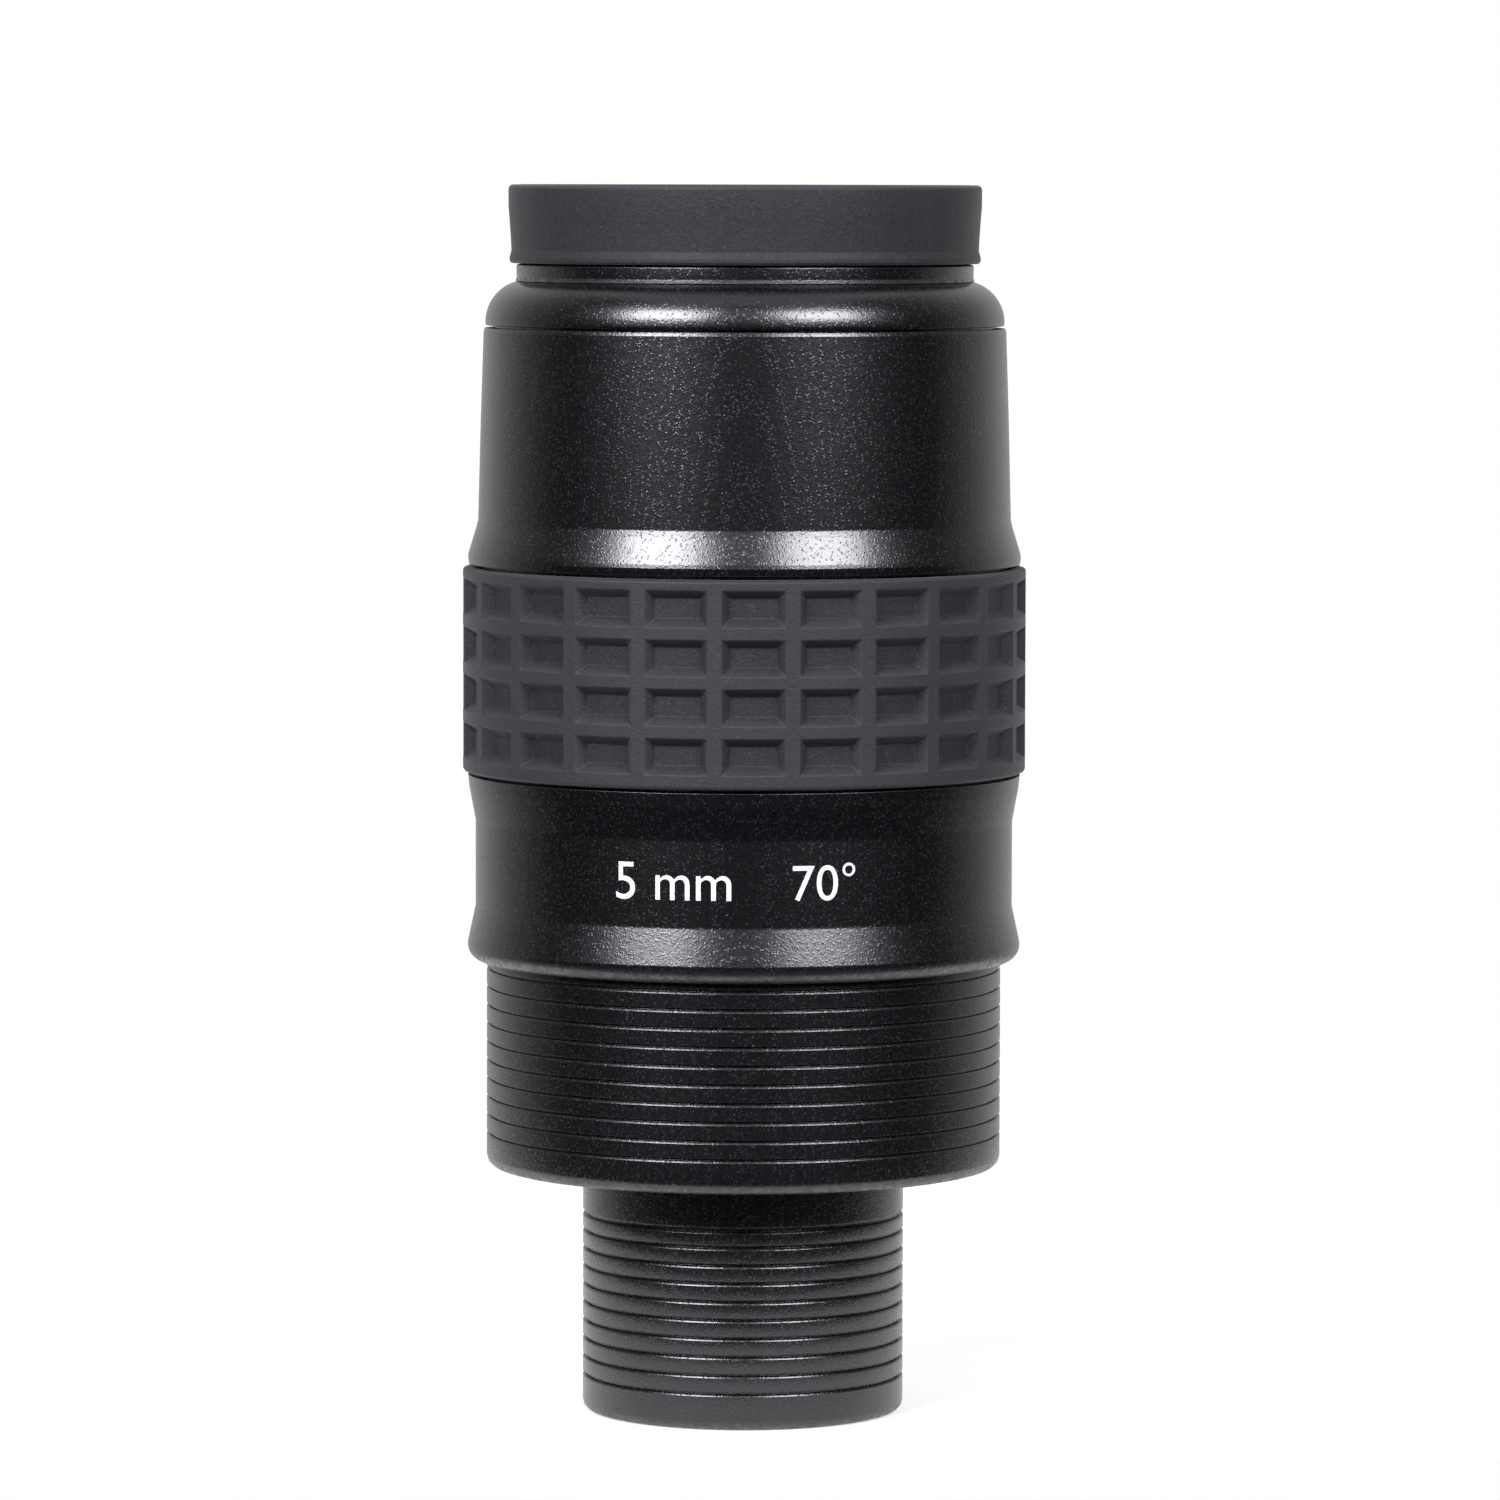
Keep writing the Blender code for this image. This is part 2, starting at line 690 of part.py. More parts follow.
# --- grub screws that lock the two housings together ---------------------------------------------
screw_length = SCREW_OUTER_END - SCREW_INNER_END
screw_section = [
    (0.0, 0.0),
    (SCREW_RADIUS - 0.3, 0.0),
    (SCREW_RADIUS, 0.3),
    (SCREW_RADIUS, screw_length),
    (SCREW_SOCKET_RADIUS, screw_length),
    (SCREW_SOCKET_RADIUS, screw_length - 0.6),
    (0.0, screw_length - 0.6),
]
hole_length = 4.0
for index in range(SCREW_COUNT):
    azimuth = math.tau * index / SCREW_COUNT
    outward = Vector((math.cos(azimuth), math.sin(azimuth), 0.0))
    turn = outward.to_track_quat("Z", "Y").to_euler()
    screw = turned("grub_screw_%d" % (index + 1), screw_section, SCREW_FACETS, screw_steel)
    screw.rotation_euler = turn
    screw.location = (outward * SCREW_INNER_END + Vector((0.0, 0.0, SCREW_Z))) * MM
    hole_section = [
        (0.0, -hole_length / 2),
        (SCREW_HOLE_RADIUS, -hole_length / 2),
        (SCREW_HOLE_RADIUS, hole_length / 2),
        (0.0, hole_length / 2),
    ]
    hole = turned("grub_hole_cutter_%d" % (index + 1), hole_section, SCREW_FACETS, cutter_material)
    hole.rotation_euler = turn
    wall_middle = (MALE_BORE_RADIUS + GRIP_SEAT_RADIUS) / 2
    hole.location = (outward * wall_middle + Vector((0.0, 0.0, SCREW_Z))) * MM
    cut(lower_housing, hole)
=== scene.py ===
"""Looks of a wide-field telescope eyepiece: fine turned skins, a moulded grip, coated glass,
plain printed numerals, a pale floor and soft light. Lengths in the tables are millimetres."""

import math

import bmesh
import bpy
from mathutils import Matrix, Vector


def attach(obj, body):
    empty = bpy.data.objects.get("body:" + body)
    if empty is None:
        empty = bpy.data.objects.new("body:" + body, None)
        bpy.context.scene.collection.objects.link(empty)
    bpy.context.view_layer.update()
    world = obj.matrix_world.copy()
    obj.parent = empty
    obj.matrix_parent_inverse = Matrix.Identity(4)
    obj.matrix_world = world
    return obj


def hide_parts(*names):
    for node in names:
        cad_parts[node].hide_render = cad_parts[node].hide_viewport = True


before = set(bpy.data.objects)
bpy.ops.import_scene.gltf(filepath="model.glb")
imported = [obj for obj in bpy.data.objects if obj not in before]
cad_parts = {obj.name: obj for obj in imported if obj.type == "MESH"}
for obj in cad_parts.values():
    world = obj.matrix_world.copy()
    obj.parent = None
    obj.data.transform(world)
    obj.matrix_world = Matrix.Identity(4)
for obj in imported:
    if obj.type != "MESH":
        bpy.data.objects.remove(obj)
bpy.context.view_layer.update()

MM = 0.001
HOUSING = "housing"
GUARD = "eye_guard"
SKIRT = "eye_guard_fold_skirt"
FINE = 256
MEDIUM = 160

# ---------------------------------------------------------------------------------------------
# Node helpers
# ---------------------------------------------------------------------------------------------


class Nodes:
    """A material's node tree with short calls for the nodes used here."""

    def __init__(self, name):
        self.material = bpy.data.materials.new(name)
        self.material.use_nodes = True
        self.tree = self.material.node_tree
        self.shader = self.tree.nodes["Principled BSDF"]
        coords = self.tree.nodes.new("ShaderNodeTexCoord")
        self.place = coords.outputs["Object"]

    def link(self, source, target):
        self.tree.links.new(source, target)

    def noise(self, scale, detail=2.0, roughness=0.5):
        node = self.tree.nodes.new("ShaderNodeTexNoise")
        node.inputs["Scale"].default_value = scale
        node.inputs["Detail"].default_value = detail
        node.inputs["Roughness"].default_value = roughness
        self.link(self.place, node.inputs["Vector"])
        return node.outputs["Fac"]

    def cells(self, scale):
        """A cell pattern: the pattern's node, and its colour split into random values."""
        node = self.tree.nodes.new("ShaderNodeTexVoronoi")
        node.inputs["Scale"].default_value = scale
        self.link(self.place, node.inputs["Vector"])
        split = self.tree.nodes.new("ShaderNodeSeparateColor")
        self.link(node.outputs["Color"], split.inputs["Color"])
        return node, split

    def grains(self, scale):
        """A random value for each grain."""
        return self.cells(scale)[1].outputs["Red"]

    def dots(self, scale, share, size):
        """Small round spots in some of the cells: 1 in the middle of a spot, 0 between them."""
        node, split = self.cells(scale)
        chosen = self.math("LESS_THAN", split.outputs["Green"], share)
        return self.math("MULTIPLY", chosen, self.span(node.outputs["Distance"], 0.0, size, 1.0, 0.0))

    def attribute(self, name):
        node = self.tree.nodes.new("ShaderNodeAttribute")
        node.attribute_name = name
        return node.outputs["Fac"]

    def span(self, value, low, high, to_low, to_high):
        """Map a value range onto another, held at both ends."""
        node = self.tree.nodes.new("ShaderNodeMapRange")
        node.inputs["From Min"].default_value = low
        node.inputs["From Max"].default_value = high
        node.inputs["To Min"].default_value = to_low
        node.inputs["To Max"].default_value = to_high
        self.link(value, node.inputs["Value"])
        return node.outputs["Result"]

    def math(self, operation, first, second):
        node = self.tree.nodes.new("ShaderNodeMath")
        node.operation = operation
        for socket, value in zip(node.inputs, (first, second)):
            if isinstance(value, (int, float)):
                socket.default_value = value
            else:
                self.link(value, socket)
        return node.outputs["Value"]

    def mix(self, factor, first, second):
        node = self.tree.nodes.new("ShaderNodeMix")
        node.data_type = "RGBA"
        self.link(factor, node.inputs["Factor"])
        for socket, value in zip((node.inputs[6], node.inputs[7]), (first, second)):
            if isinstance(value, tuple):
                socket.default_value = (*value, 1.0)
            else:
                self.link(value, socket)
        return node.outputs[2]

    def bump(self, height, strength, distance, below=None):
        node = self.tree.nodes.new("ShaderNodeBump")
        node.inputs["Strength"].default_value = strength
        node.inputs["Distance"].default_value = distance
        self.link(height, node.inputs["Height"])
        if below is not None:
            self.link(below, node.inputs["Normal"])
        return node.outputs["Normal"]

    def feed(self, socket, value):
        self.link(value, self.shader.inputs[socket])

    def fix(self, socket, value):
        self.shader.inputs[socket].default_value = value


def scaled(tone, factor):
    """The tone made lighter or darker."""
    return tuple(channel * factor for channel in tone)


def anodised_metal(name, tone, rough, speckle, painted_glint):
    """Bead-blasted aluminium under black anodising: fine grain, painted glints in the base colour at the
    bead spots, and lighter edges that are part edge wear and part painted highlight.
    """
    n = Nodes(name)
    grain = n.noise(5200, 1.0, 0.6)
    coarse = n.noise(1900, 2.0, 0.6)
    cloud = n.noise(55, 3.0, 0.6)
    patch = n.noise(1400, 2.0, 0.6)
    bead_relief_and_painted_glints = n.dots(4200, 0.4, 0.5)
    edge = n.attribute("edge")
    base = n.mix(n.span(cloud, 0.35, 0.65, 0.0, 1.0), scaled(tone, 0.9), scaled(tone, 1.12))
    # Painted glint: the bead spots lighten the base colour, and the same spots also raise small bumps.
    base_with_painted_glints = n.mix(n.math("MULTIPLY", bead_relief_and_painted_glints, painted_glint), base, (0.3, 0.29, 0.31))
    # Lighter colour on the marked edges, in patches, is partly edge wear and partly a painted highlight.
    wear_and_painted_highlight_tone = tuple(channel * 3.0 + 0.03 for channel in tone)
    edge_wear_and_painted_highlight = n.math("MULTIPLY", edge, n.span(patch, 0.4, 0.62, 0.15, 0.8))
    n.feed("Base Color", n.mix(edge_wear_and_painted_highlight, base_with_painted_glints, wear_and_painted_highlight_tone))
    satin = n.span(grain, 0.3, 0.7, rough + 0.03, rough - 0.03)
    scuffed = n.math("MULTIPLY", edge, n.span(patch, 0.4, 0.6, 0.2, 0.0))
    n.feed("Roughness", n.math("ADD", satin, scuffed))
    wavy = n.bump(coarse, speckle, 0.000016)
    fine = n.bump(grain, speckle, 0.000012, wavy)
    n.feed("Normal", n.bump(bead_relief_and_painted_glints, speckle, 0.00002, fine))
    n.fix("Metallic", 0.0)
    n.fix("Specular IOR Level", 0.7)
    return n.material


def moulded_rubber(name, tone, rough):
    """Matt black rubber with a fine skin, pale dust, a little sheen and a painted highlight along its marked
    edges.
    """
    n = Nodes(name)
    skin = n.noise(3600, 3.0, 0.65)
    pores = n.grains(2600)
    cloud = n.noise(80, 4.0, 0.6)
    dust = n.noise(2300, 2.0, 0.7)
    edge = n.attribute("edge")
    fleck = n.noise(2100, 2.0, 0.75)
    mottle = n.math("ADD", n.span(cloud, 0.3, 0.7, 0.0, 0.35), n.span(fleck, 0.32, 0.68, 0.0, 0.65))
    base = n.mix(mottle, scaled(tone, 0.45), scaled(tone, 1.6))
    dusted = n.mix(n.span(dust, 0.62, 0.8, 0.0, 0.24), base, (0.12, 0.12, 0.13))
    # Painted highlight: the marked edges get a lighter base colour.
    n.feed("Base Color", n.mix(n.math("MULTIPLY", edge, 0.55), dusted, scaled(tone, 3.2)))
    n.feed("Roughness", n.span(cloud, 0.3, 0.7, rough - 0.06, rough + 0.06))
    fine = n.bump(skin, 0.9, 0.00006)
    n.feed("Normal", n.bump(pores, 0.12, 0.00004, fine))
    n.fix("Specular IOR Level", 0.3)
    n.fix("Sheen Weight", 0.08)
    n.fix("Sheen Roughness", 0.5)
    return n.material


def optical_glass(name, tint, film):
    """Clear lens with an anti-reflection coating that throws a faint colour."""
    n = Nodes(name)
    smear = n.noise(140, 3.0, 0.6)
    n.feed("Roughness", n.span(smear, 0.45, 0.8, 0.0, 0.035))
    n.fix("Base Color", (*tint, 1.0))
    n.fix("Transmission Weight", 1.0)
    n.fix("IOR", 1.52)
    n.fix("Thin Film Thickness", film)
    n.fix("Thin Film IOR", 1.38)
    return n.material


def ground_edge(name):
    """Blackened ground rim of a lens."""
    n = Nodes(name)
    grit = n.noise(2400, 2.0, 0.6)
    black = n.mix(n.span(grit, 0.3, 0.7, 0.0, 1.0), (0.006, 0.006, 0.006), (0.018, 0.018, 0.018))
    n.feed("Base Color", black)
    n.feed("Normal", n.bump(grit, 0.3, 0.00004))
    n.fix("Roughness", 0.85)
    return n.material


def printed_ink(name, tone):
    """Satin printing ink with a faint cloudiness."""
    n = Nodes(name)
    grit = n.noise(3800, 2.0, 0.6)
    cloud = n.noise(600, 2.0, 0.5)
    n.feed("Base Color", n.mix(n.span(cloud, 0.35, 0.7, 0.0, 1.0), scaled(tone, 0.9), tone))
    n.feed("Roughness", n.span(cloud, 0.3, 0.7, 0.42, 0.55))
    n.feed("Normal", n.bump(grit, 0.15, 0.00003))
    return n.material


def blackened_steel(name):
    """Black oxide on a turned steel screw."""
    n = Nodes(name)
    ring = n.noise(900, 3.0, 0.6)
    n.feed("Base Color", n.mix(n.span(ring, 0.35, 0.65, 0.0, 1.0), (0.03, 0.03, 0.03), (0.08, 0.08, 0.085)))
    n.feed("Roughness", n.span(ring, 0.3, 0.7, 0.28, 0.5))
    n.feed("Normal", n.bump(ring, 0.1, 0.00004))
    n.fix("Metallic", 1.0)
    return n.material


housing_metal = anodised_metal("blasted_anodising", (0.0016, 0.0014, 0.0020), 0.27, 0.9, 0.06)
barrel_metal = anodised_metal("barrel_anodising", (0.0018, 0.0016, 0.0022), 0.27, 0.9, 0.05)
inner_metal = anodised_metal("matt_inner_anodising", (0.004, 0.004, 0.004), 0.72, 0.5, 0.02)
guard_rubber = moulded_rubber("eye_guard_rubber_skin", (0.0095, 0.0091, 0.0108), 0.62)
grip_rubber = moulded_rubber("grip_rubber_skin", (0.0094, 0.0090, 0.0106), 0.62)
eye_glass = optical_glass("eye_lens_glass", (0.93, 0.98, 0.95), 280.0)
inner_glass = optical_glass("inner_lens_glass", (0.95, 0.98, 0.97), 330.0)
grey_ink = printed_ink("pale_grey_print", (0.62, 0.62, 0.62))
steel = blackened_steel("blackened_screw_steel")

# ---------------------------------------------------------------------------------------------
# Turned meshes
# ---------------------------------------------------------------------------------------------


def round_section(corners, steps=4):
    """Turn (radius, height, fillet) corners into section points with an edge weight each.

    A corner with a fillet becomes an arc that touches both its sides.
    """
    points = []
    count = len(corners)
    for index, (radius, height, fillet) in enumerate(corners):
        here = Vector((radius, height))
        if fillet <= 0:
            points.append((radius, height, 0.0))
            continue
        before = (Vector(corners[index - 1][:2]) - here).normalized()
        after = (Vector(corners[(index + 1) % count][:2]) - here).normalized()
        opening = before.angle(after)
        if opening > math.pi - 0.02:
            points.append((radius, height, 0.0))
            continue
        reach = fillet / math.tan(opening / 2)
        centre = here + (before + after).normalized() * (fillet / math.sin(opening / 2))
        start = here + before * reach - centre
        sweep = math.pi - opening
        side = 1.0 if before.x * after.y - before.y * after.x < 0 else -1.0
        # Outward corners get an edge weight, which the materials paint lighter: edge wear and painted
        # highlight on metal, painted highlight on rubber.
        weight = min(1.0, (math.pi - opening) / 1.2) if side > 0 else 0.0
        for step in range(steps + 1):
            angle = side * sweep * step / steps
            turned_point = Vector(
                (
                    start.x * math.cos(angle) - start.y * math.sin(angle),
                    start.x * math.sin(angle) + start.y * math.cos(angle),
                )
            )
            spot = centre + turned_point
            points.append((spot.x, spot.y, weight * math.sin(math.pi * step / steps)))
    return points


SHARP_ANGLE = math.radians(38)


def finish_mesh(name, verts, faces, edges_weight, material):
    """Mesh object with its edge weights, smooth shading and sharp corners."""
    mesh = bpy.data.meshes.new(name)
    mesh.from_pydata(verts, [], faces)
    mesh.update()
    attribute = mesh.attributes.new("edge", "FLOAT", "POINT")
    attribute.data.foreach_set("value", edges_weight)
    mesh.materials.append(material)
    mesh.shade_smooth()
    mesh.set_sharp_from_angle(angle=SHARP_ANGLE)
    obj = bpy.data.objects.new(name, mesh)
    bpy.context.scene.collection.objects.link(obj)
    return obj


def turn(name, points, segments, material, thread=None):
    """Spin section points round the axis. The section runs anticlockwise in (radius, height).

    thread is (low, high, pitch, depth): points marked with weight 2 between the two heights
    move in and out along a helix.
    """
    verts = []
    weights = []
    rings = []
    for radius, height, weight in points:
        if radius == 0.0:
            rings.append([len(verts)] * segments)
            verts.append((0.0, 0.0, height * MM))
            weights.append(0.0)
            continue
        ring = []
        for step in range(segments):
            azimuth = math.tau * step / segments
            here = radius
            if weight == 2.0:
                low, high, pitch, depth = thread
                phase = (height / pitch - azimuth / math.tau) % 1.0
                ridge = 1.0 - abs(2.0 * phase - 1.0)
                ease = min(1.0, (height - low) / pitch, (high - height) / pitch)
                here = radius + depth * min(1.0, 1.25 * ridge) * max(0.0, ease)
            ring.append(len(verts))
            verts.append((here * math.cos(azimuth) * MM, here * math.sin(azimuth) * MM, height * MM))
            weights.append(min(weight, 1.0) if weight != 2.0 else 0.0)
        rings.append(ring)
    closed = points[0][0] != 0.0
    faces = []
    pairs = list(zip(rings, rings[1:]))
    if closed:
        pairs.append((rings[-1], rings[0]))
    for low_ring, high_ring in pairs:
        for step in range(segments):
            following = (step + 1) % segments
            corners = [low_ring[step], low_ring[following], high_ring[following], high_ring[step]]
            faces.append(tuple(dict.fromkeys(corners)))
    obj = finish_mesh(name, verts, faces, weights, material)
    weighted = obj.modifiers.new("weighted", "WEIGHTED_NORMAL")
    weighted.keep_sharp = True
    weighted.weight = 80
    return obj


def fit(piece, body, slot, *nodes):
    """Let a new piece stand for its CAD nodes."""
    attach(piece, body)
    if nodes:
        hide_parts(*nodes)
    return piece


def thread_points(radius, low, high, step):
    """Close rows of points that a thread can shape, from low to high."""
    count = int(round((high - low) / step))
    return [(radius, low + (high - low) * index / count, 2.0) for index in range(count + 1)]


# ---------------------------------------------------------------------------------------------
# Eye guard: one moulding, folded down over itself
# ---------------------------------------------------------------------------------------------
guard_top = 121.15
guard_low = 113.42

base_corners = [
    (21.62, guard_low, 0.1),
    (22.28, guard_low, 0.2),
    (22.3, 120.55, 0.0),
    (22.36, 120.9, 0.05),
    (22.36, 121.02, 0.1),
    (22.0, guard_top, 0.3),
    (20.2, guard_top, 0.45),
    (19.95, 120.3, 0.3),
    (20.0, 119.85, 0.15),
    (21.62, 119.85, 0.1),
]
fit(
    turn("eye_guard_base_skin", round_section(base_corners, 5), FINE, guard_rubber),
    GUARD,
    "eye_guard_rubber",
    "eye_guard_base",
)

skirt_corners = [
    (22.48, guard_low + 0.02, 0.15),
    (23.02, guard_low, 0.2),
    (23.17, guard_low + 0.28, 0.15),
    (23.16, guard_low + 0.62, 0.2),
    (22.98, guard_low + 1.25, 0.5),
    (23.05, guard_low + 2.6, 0.0),
    (23.16, guard_low + 4.2, 0.0),
    (23.27, guard_low + 5.6, 0.0),
    (23.28, guard_top - 0.02, 0.5),
    (22.38, guard_top - 0.02, 0.1),
    (22.37, guard_top - 0.5, 0.0),
    (22.46, guard_top - 1.1, 0.0),
]
fit(
    turn("eye_guard_skirt_skin", round_section(skirt_corners, 5), FINE, guard_rubber),
    SKIRT,
    "eye_guard_rubber",
    "eye_guard_skirt",
)

# ---------------------------------------------------------------------------------------------
# Camera thread ring
# ---------------------------------------------------------------------------------------------
camera_thread = (114.25, 119.25, 0.75, 0.42)
# The third value is the edge weight, which the metal paints lighter as edge wear and painted highlight.
ring_points = [(19.7, 107.65, 0.0), (21.6, 107.65, 0.0)]
ring_points += [(21.6, 111.66, 0.0), (22.4, 111.66, 0.0)]
ring_points += [(22.55, 111.67, 1.0), (22.56, 111.72, 1.0), (22.46, 112.02, 0.6), (22.47, 112.12, 0.0)]
ring_points += [(22.5, 113.1, 0.0), (22.44, 113.26, 1.0), (22.3, 113.32, 0.0), (21.0, 113.32, 0.0)]
ring_points += [(20.94, 113.4, 0.0)]
ring_points += [(20.94, 114.1, 0.0)]
ring_points += thread_points(20.98, camera_thread[0], camera_thread[1], 0.09)
ring_points += [(20.98, 119.35, 0.0), (20.7, 119.58, 1.0), (19.85, 119.58, 0.0), (19.7, 119.43, 1.0)]
fit(
    turn("camera_thread_ring_skin", ring_points, FINE, housing_metal, camera_thread),
    HOUSING,
    "anodised_aluminium",
    "camera_thread_ring",
)

# ---------------------------------------------------------------------------------------------
# Shoulder ring and upper housing
# ---------------------------------------------------------------------------------------------
dome_points = []
dome_steps = 22
dome_centre = (21.415, 107.64)
dome_radius = 4.125
for step in range(dome_steps + 1):
    angle = math.radians(-3.0 + 74.0 * step / dome_steps)
    dome_points.append(
        (dome_centre[0] + dome_radius * math.cos(angle), dome_centre[1] + dome_radius * math.sin(angle), 0.0)
    )
shoulder_points = [(22.8, 103.0, 0.0), (24.6, 103.0, 0.0), (24.6, 107.36, 0.0)]
# Edge weights here are painted lighter as edge wear and painted highlight.
shoulder_points += [(25.33, 107.32, 0.0), (25.45, 107.34, 1.0), (25.52, 107.4, 0.6)]
shoulder_points += dome_points
shoulder_points += [(22.6, 111.6, 0.0), (22.2, 111.62, 0.0), (21.9, 111.5, 0.0)]
shoulder_points += [(21.9, 107.35, 0.0), (22.8, 107.35, 0.0)]
fit(
    turn("shoulder_ring_skin", shoulder_points, FINE, housing_metal),
    HOUSING,
    "anodised_aluminium",
    "shoulder_ring",
)

upper_corners = [
    (22.8, 66.0, 0.1),
    (24.2, 66.0, 0.3),
    (24.2, 73.1, 0.0),
    (25.9, 73.1, 0.2),
    (25.9, 83.88, 0.0),
    (27.17, 83.88, 0.12),
    (27.25, 84.62, 0.1),
    (27.18, 85.0, 0.25),
    (26.42, 87.5, 0.25),
    (26.25, 88.2, 0.8),
    (26.0, 98.0, 0.0),
    (25.72, 106.72, 0.1),
    (25.60, 107.08, 0.05),
    (24.9, 107.08, 0.0),
    (24.9, 102.7, 0.0),
    (22.8, 102.7, 0.0),
]
fit(
    turn("upper_housing_skin", round_section(upper_corners, 5), FINE, housing_metal),
    HOUSING,
    "anodised_aluminium",
    "upper_housing",
)

# ---------------------------------------------------------------------------------------------
# Lower housing
# ---------------------------------------------------------------------------------------------
lower_corners = [
    (25.7, 44.78, 0.02),
    (27.25, 44.78, 1.5),
    (27.27, 46.55, 0.5),
    (26.5, 50.15, 1.2),
    (26.5, 58.6, 2.0),
    (27.12, 61.9, 3.0),
    (27.25, 63.16, 0.05),
    (25.9, 63.16, 0.0),
    (25.9, 72.8, 0.3),
    (24.5, 72.8, 0.1),
    (24.5, 65.7, 0.0),
    (22.8, 65.7, 0.0),
    (22.8, 52.3, 0.0),
    (24.7, 52.3, 0.0),
    (24.7, 45.6, 0.0),
    (25.7, 45.6, 0.0),
]
fit(
    turn("lower_housing_skin", round_section(lower_corners, 8), FINE, housing_metal),
    HOUSING,
    "anodised_aluminium",
    "lower_housing",
)

# ---------------------------------------------------------------------------------------------
# Barrels with their shallow kerfs
# ---------------------------------------------------------------------------------------------
BARREL_RADIUS = 25.4
BARREL_KERF_FLOOR = 25.05
BARREL_KERF_TOP = 43.94
BARREL_KERF_PITCH = 1.81
KERF_COUNT = 10
NOSE_RADIUS = 15.875
NOSE_KERF_FLOOR = 15.42
NOSE_KERFS = (19.7, 18.02, 16.26, 14.5, 12.7, 10.92, 9.12, 7.31, 5.49, 3.67)
TOP_KERF_EXTRA = 0.06

barrel_corners = [(16.18, 24.3, 0.12), (BARREL_RADIUS, 24.3, 1.15)]
for index in reversed(range(KERF_COUNT)):
    centre = BARREL_KERF_TOP - BARREL_KERF_PITCH * index
    barrel_corners += [
        (BARREL_RADIUS, centre - 0.21, 0.06),
        (25.31, centre - 0.04, 0.05),
        (BARREL_KERF_FLOOR, centre + 0.01, 0.03),
        (BARREL_KERF_FLOOR, centre + 0.21, 0.02),
        (BARREL_RADIUS, centre + 0.24, 0.03),
    ]
barrel_corners += [
    (BARREL_RADIUS, 45.3, 0.1),
    (24.4, 45.3, 0.0),
    (24.4, 52.0, 0.3),
    (22.8, 52.0, 0.1),
    (22.8, 28.0, 0.3),
    (14.8, 28.0, 0.2),
    (14.8, 25.2, 0.0),
    (16.18, 25.2, 0.0),
]
fit(
    turn("two_inch_barrel_skin", round_section(barrel_corners, 3), FINE, barrel_metal),
    HOUSING,
    "anodised_aluminium",
    "two_inch_barrel",
)

filter_thread = (0.45, 5.9, 0.6, 0.3)
nose_corners = [(14.1, 0.0, 0.1), (NOSE_RADIUS, 0.0, 0.95)]
for centre in reversed(NOSE_KERFS):
    wide = TOP_KERF_EXTRA if centre == NOSE_KERFS[0] else 0.0
    nose_corners += [
        (NOSE_RADIUS, centre - 0.31 - wide, 0.08),
        (15.81, centre - 0.17 - wide, 0.05),
        (NOSE_KERF_FLOOR, centre - 0.11 - wide, 0.03),
        (NOSE_KERF_FLOOR, centre + 0.17 + wide, 0.03),
        (NOSE_RADIUS, centre + 0.21 + wide, 0.03),
    ]
nose_corners += [
    (NOSE_RADIUS, 23.42, 0.04),
    (15.76, 23.5, 0.0),
    (NOSE_RADIUS, 23.58, 0.04),
    (NOSE_RADIUS, 24.9, 0.2),
    (14.5, 24.9, 0.0),
    (14.5, 30.0, 0.3),
    (11.8, 30.0, 0.3),
    (11.8, 22.3, 0.0),
    (13.2, 22.3, 0.0),
    (13.2, 6.2, 0.1),
]
nose_points = round_section(nose_corners, 3)
nose_points += [(14.02, 6.2, 0.0)]
nose_points += thread_points(13.96, filter_thread[0], filter_thread[1], 0.075)[::-1]
nose_points += [(13.96, 0.3, 0.0)]
fit(
    turn("nosepiece_skin", nose_points, FINE, barrel_metal, filter_thread),
    HOUSING,
    "anodised_aluminium",
    "nosepiece",
)

# ---------------------------------------------------------------------------------------------
# Lens cell, retainers, spacers, baffle tube, field stop, lower cell
# ---------------------------------------------------------------------------------------------
PLAIN_RINGS = {
    "lens_cell": [
        (20.6, 70.5, 0.1),
        (22.5, 70.5, 0.2),
        (22.5, 107.0, 0.2),
        (19.4, 107.0, 0.3),
        (19.4, 117.2, 0.25),
        (17.9, 117.2, 0.25),
        (17.9, 111.85, 0.0),
        (16.6, 111.85, 0.2),
        (16.6, 102.9, 0.2),
        (20.6, 101.6, 0.0),
    ],
    "doublet_spacer": [(18.6, 87.6, 0.1), (20.3, 87.6, 0.1), (20.3, 90.1, 0.1), (18.6, 90.1, 0.1)],
    "field_lens_spacer": [(18.6, 75.3, 0.1), (20.3, 75.3, 0.1), (20.3, 76.3, 0.1), (18.6, 76.3, 0.1)],
    "lens_cell_lock_ring": [(19.4, 68.0, 0.1), (22.5, 68.0, 0.1), (22.5, 70.2, 0.1), (19.4, 70.2, 0.1)],
    "field_stop": [
        (10.6, 45.4, 0.0),
        (20.6, 45.4, 0.1),
        (20.6, 47.0, 0.1),
        (9.0, 47.0, 0.0),
        (9.0, 46.8, 0.0),
    ],
    "smyth_cell": [
        (11.6, 6.6, 0.15),
        (12.9, 6.6, 0.2),
        (12.9, 22.0, 0.2),
        (10.4, 22.0, 0.2),
        (10.4, 20.5, 0.1),
        (11.6, 20.5, 0.0),
    ],
}
for node, corners in PLAIN_RINGS.items():
    fit(
        turn(node + "_skin", round_section(corners), MEDIUM, inner_metal),
        HOUSING,
        "matt_black_aluminium",
        node,
    )

baffle_corners = [(20.9, 28.3, 0.1), (22.4, 28.3, 0.2), (22.4, 67.7, 0.2), (20.9, 67.7, 0.1)]
for rib_z in (62.5, 57.5, 52.5, 38.5, 33.5):
    baffle_corners += [(20.9, rib_z + 0.8, 0.0), (19.8, rib_z, 0.05), (20.9, rib_z - 0.8, 0.0)]
fit(
    turn("baffle_tube_skin", round_section(baffle_corners), MEDIUM, inner_metal),
    HOUSING,
    "matt_black_aluminium",
    "baffle_tube",
)


